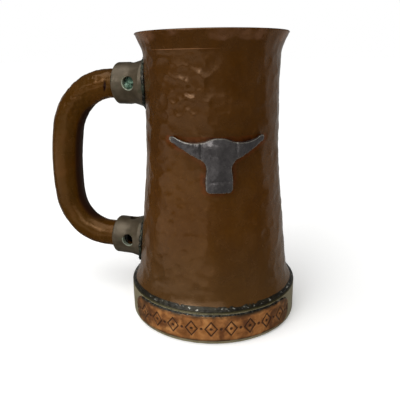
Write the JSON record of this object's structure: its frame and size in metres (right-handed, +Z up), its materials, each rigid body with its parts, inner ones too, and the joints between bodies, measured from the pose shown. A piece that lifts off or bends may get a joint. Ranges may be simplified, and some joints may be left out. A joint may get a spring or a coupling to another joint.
{
  "type": "copper mug",
  "caption": "Tall hammered copper mug with a bent tube handle in two bronze sockets, a heavy brass base ring, a copper plaque and a cast steer's head badge.",
  "frame": {"origin": "centre of the flat base, on the mug's axis", "axes": "+Z up along the mug's axis, handle along -X, badge and plaque towards -Y and a little towards +X"},
  "size_m": [0.1617, 0.1027, 0.1633],
  "materials": {
    "patinated_copper": "satin, dark brown patina over copper",
    "bare_copper": "satin, rubbed copper",
    "aged_bronze": "satin, olive-grey bronze",
    "aged_brass": "satin, olive-grey brass",
    "solder": "rough, dull grey solder",
    "pewter": "satin, dark grey cast metal",
    "verdigris_solder": "rough, green corrosion on solder"
  },
  "bodies": {
    "root": {"body_shell": "patinated_copper", "base_ring": "aged_brass", "base_plate": "bare_copper", "base_plate_solder": "solder", "foot_solder": "solder", "base_plaque": "bare_copper", "plaque_solder": "solder", "steer_head_badge": "pewter", "badge_solder": "solder", "upper_socket": "aged_bronze", "lower_socket": "aged_bronze", "upper_socket_solder": "solder", "lower_socket_solder": "solder", "handle_tube": "patinated_copper", "upper_handle_solder": "solder", "lower_handle_solder": "solder", "upper_socket_plug": "verdigris_solder"}
  },
  "joints": []
}
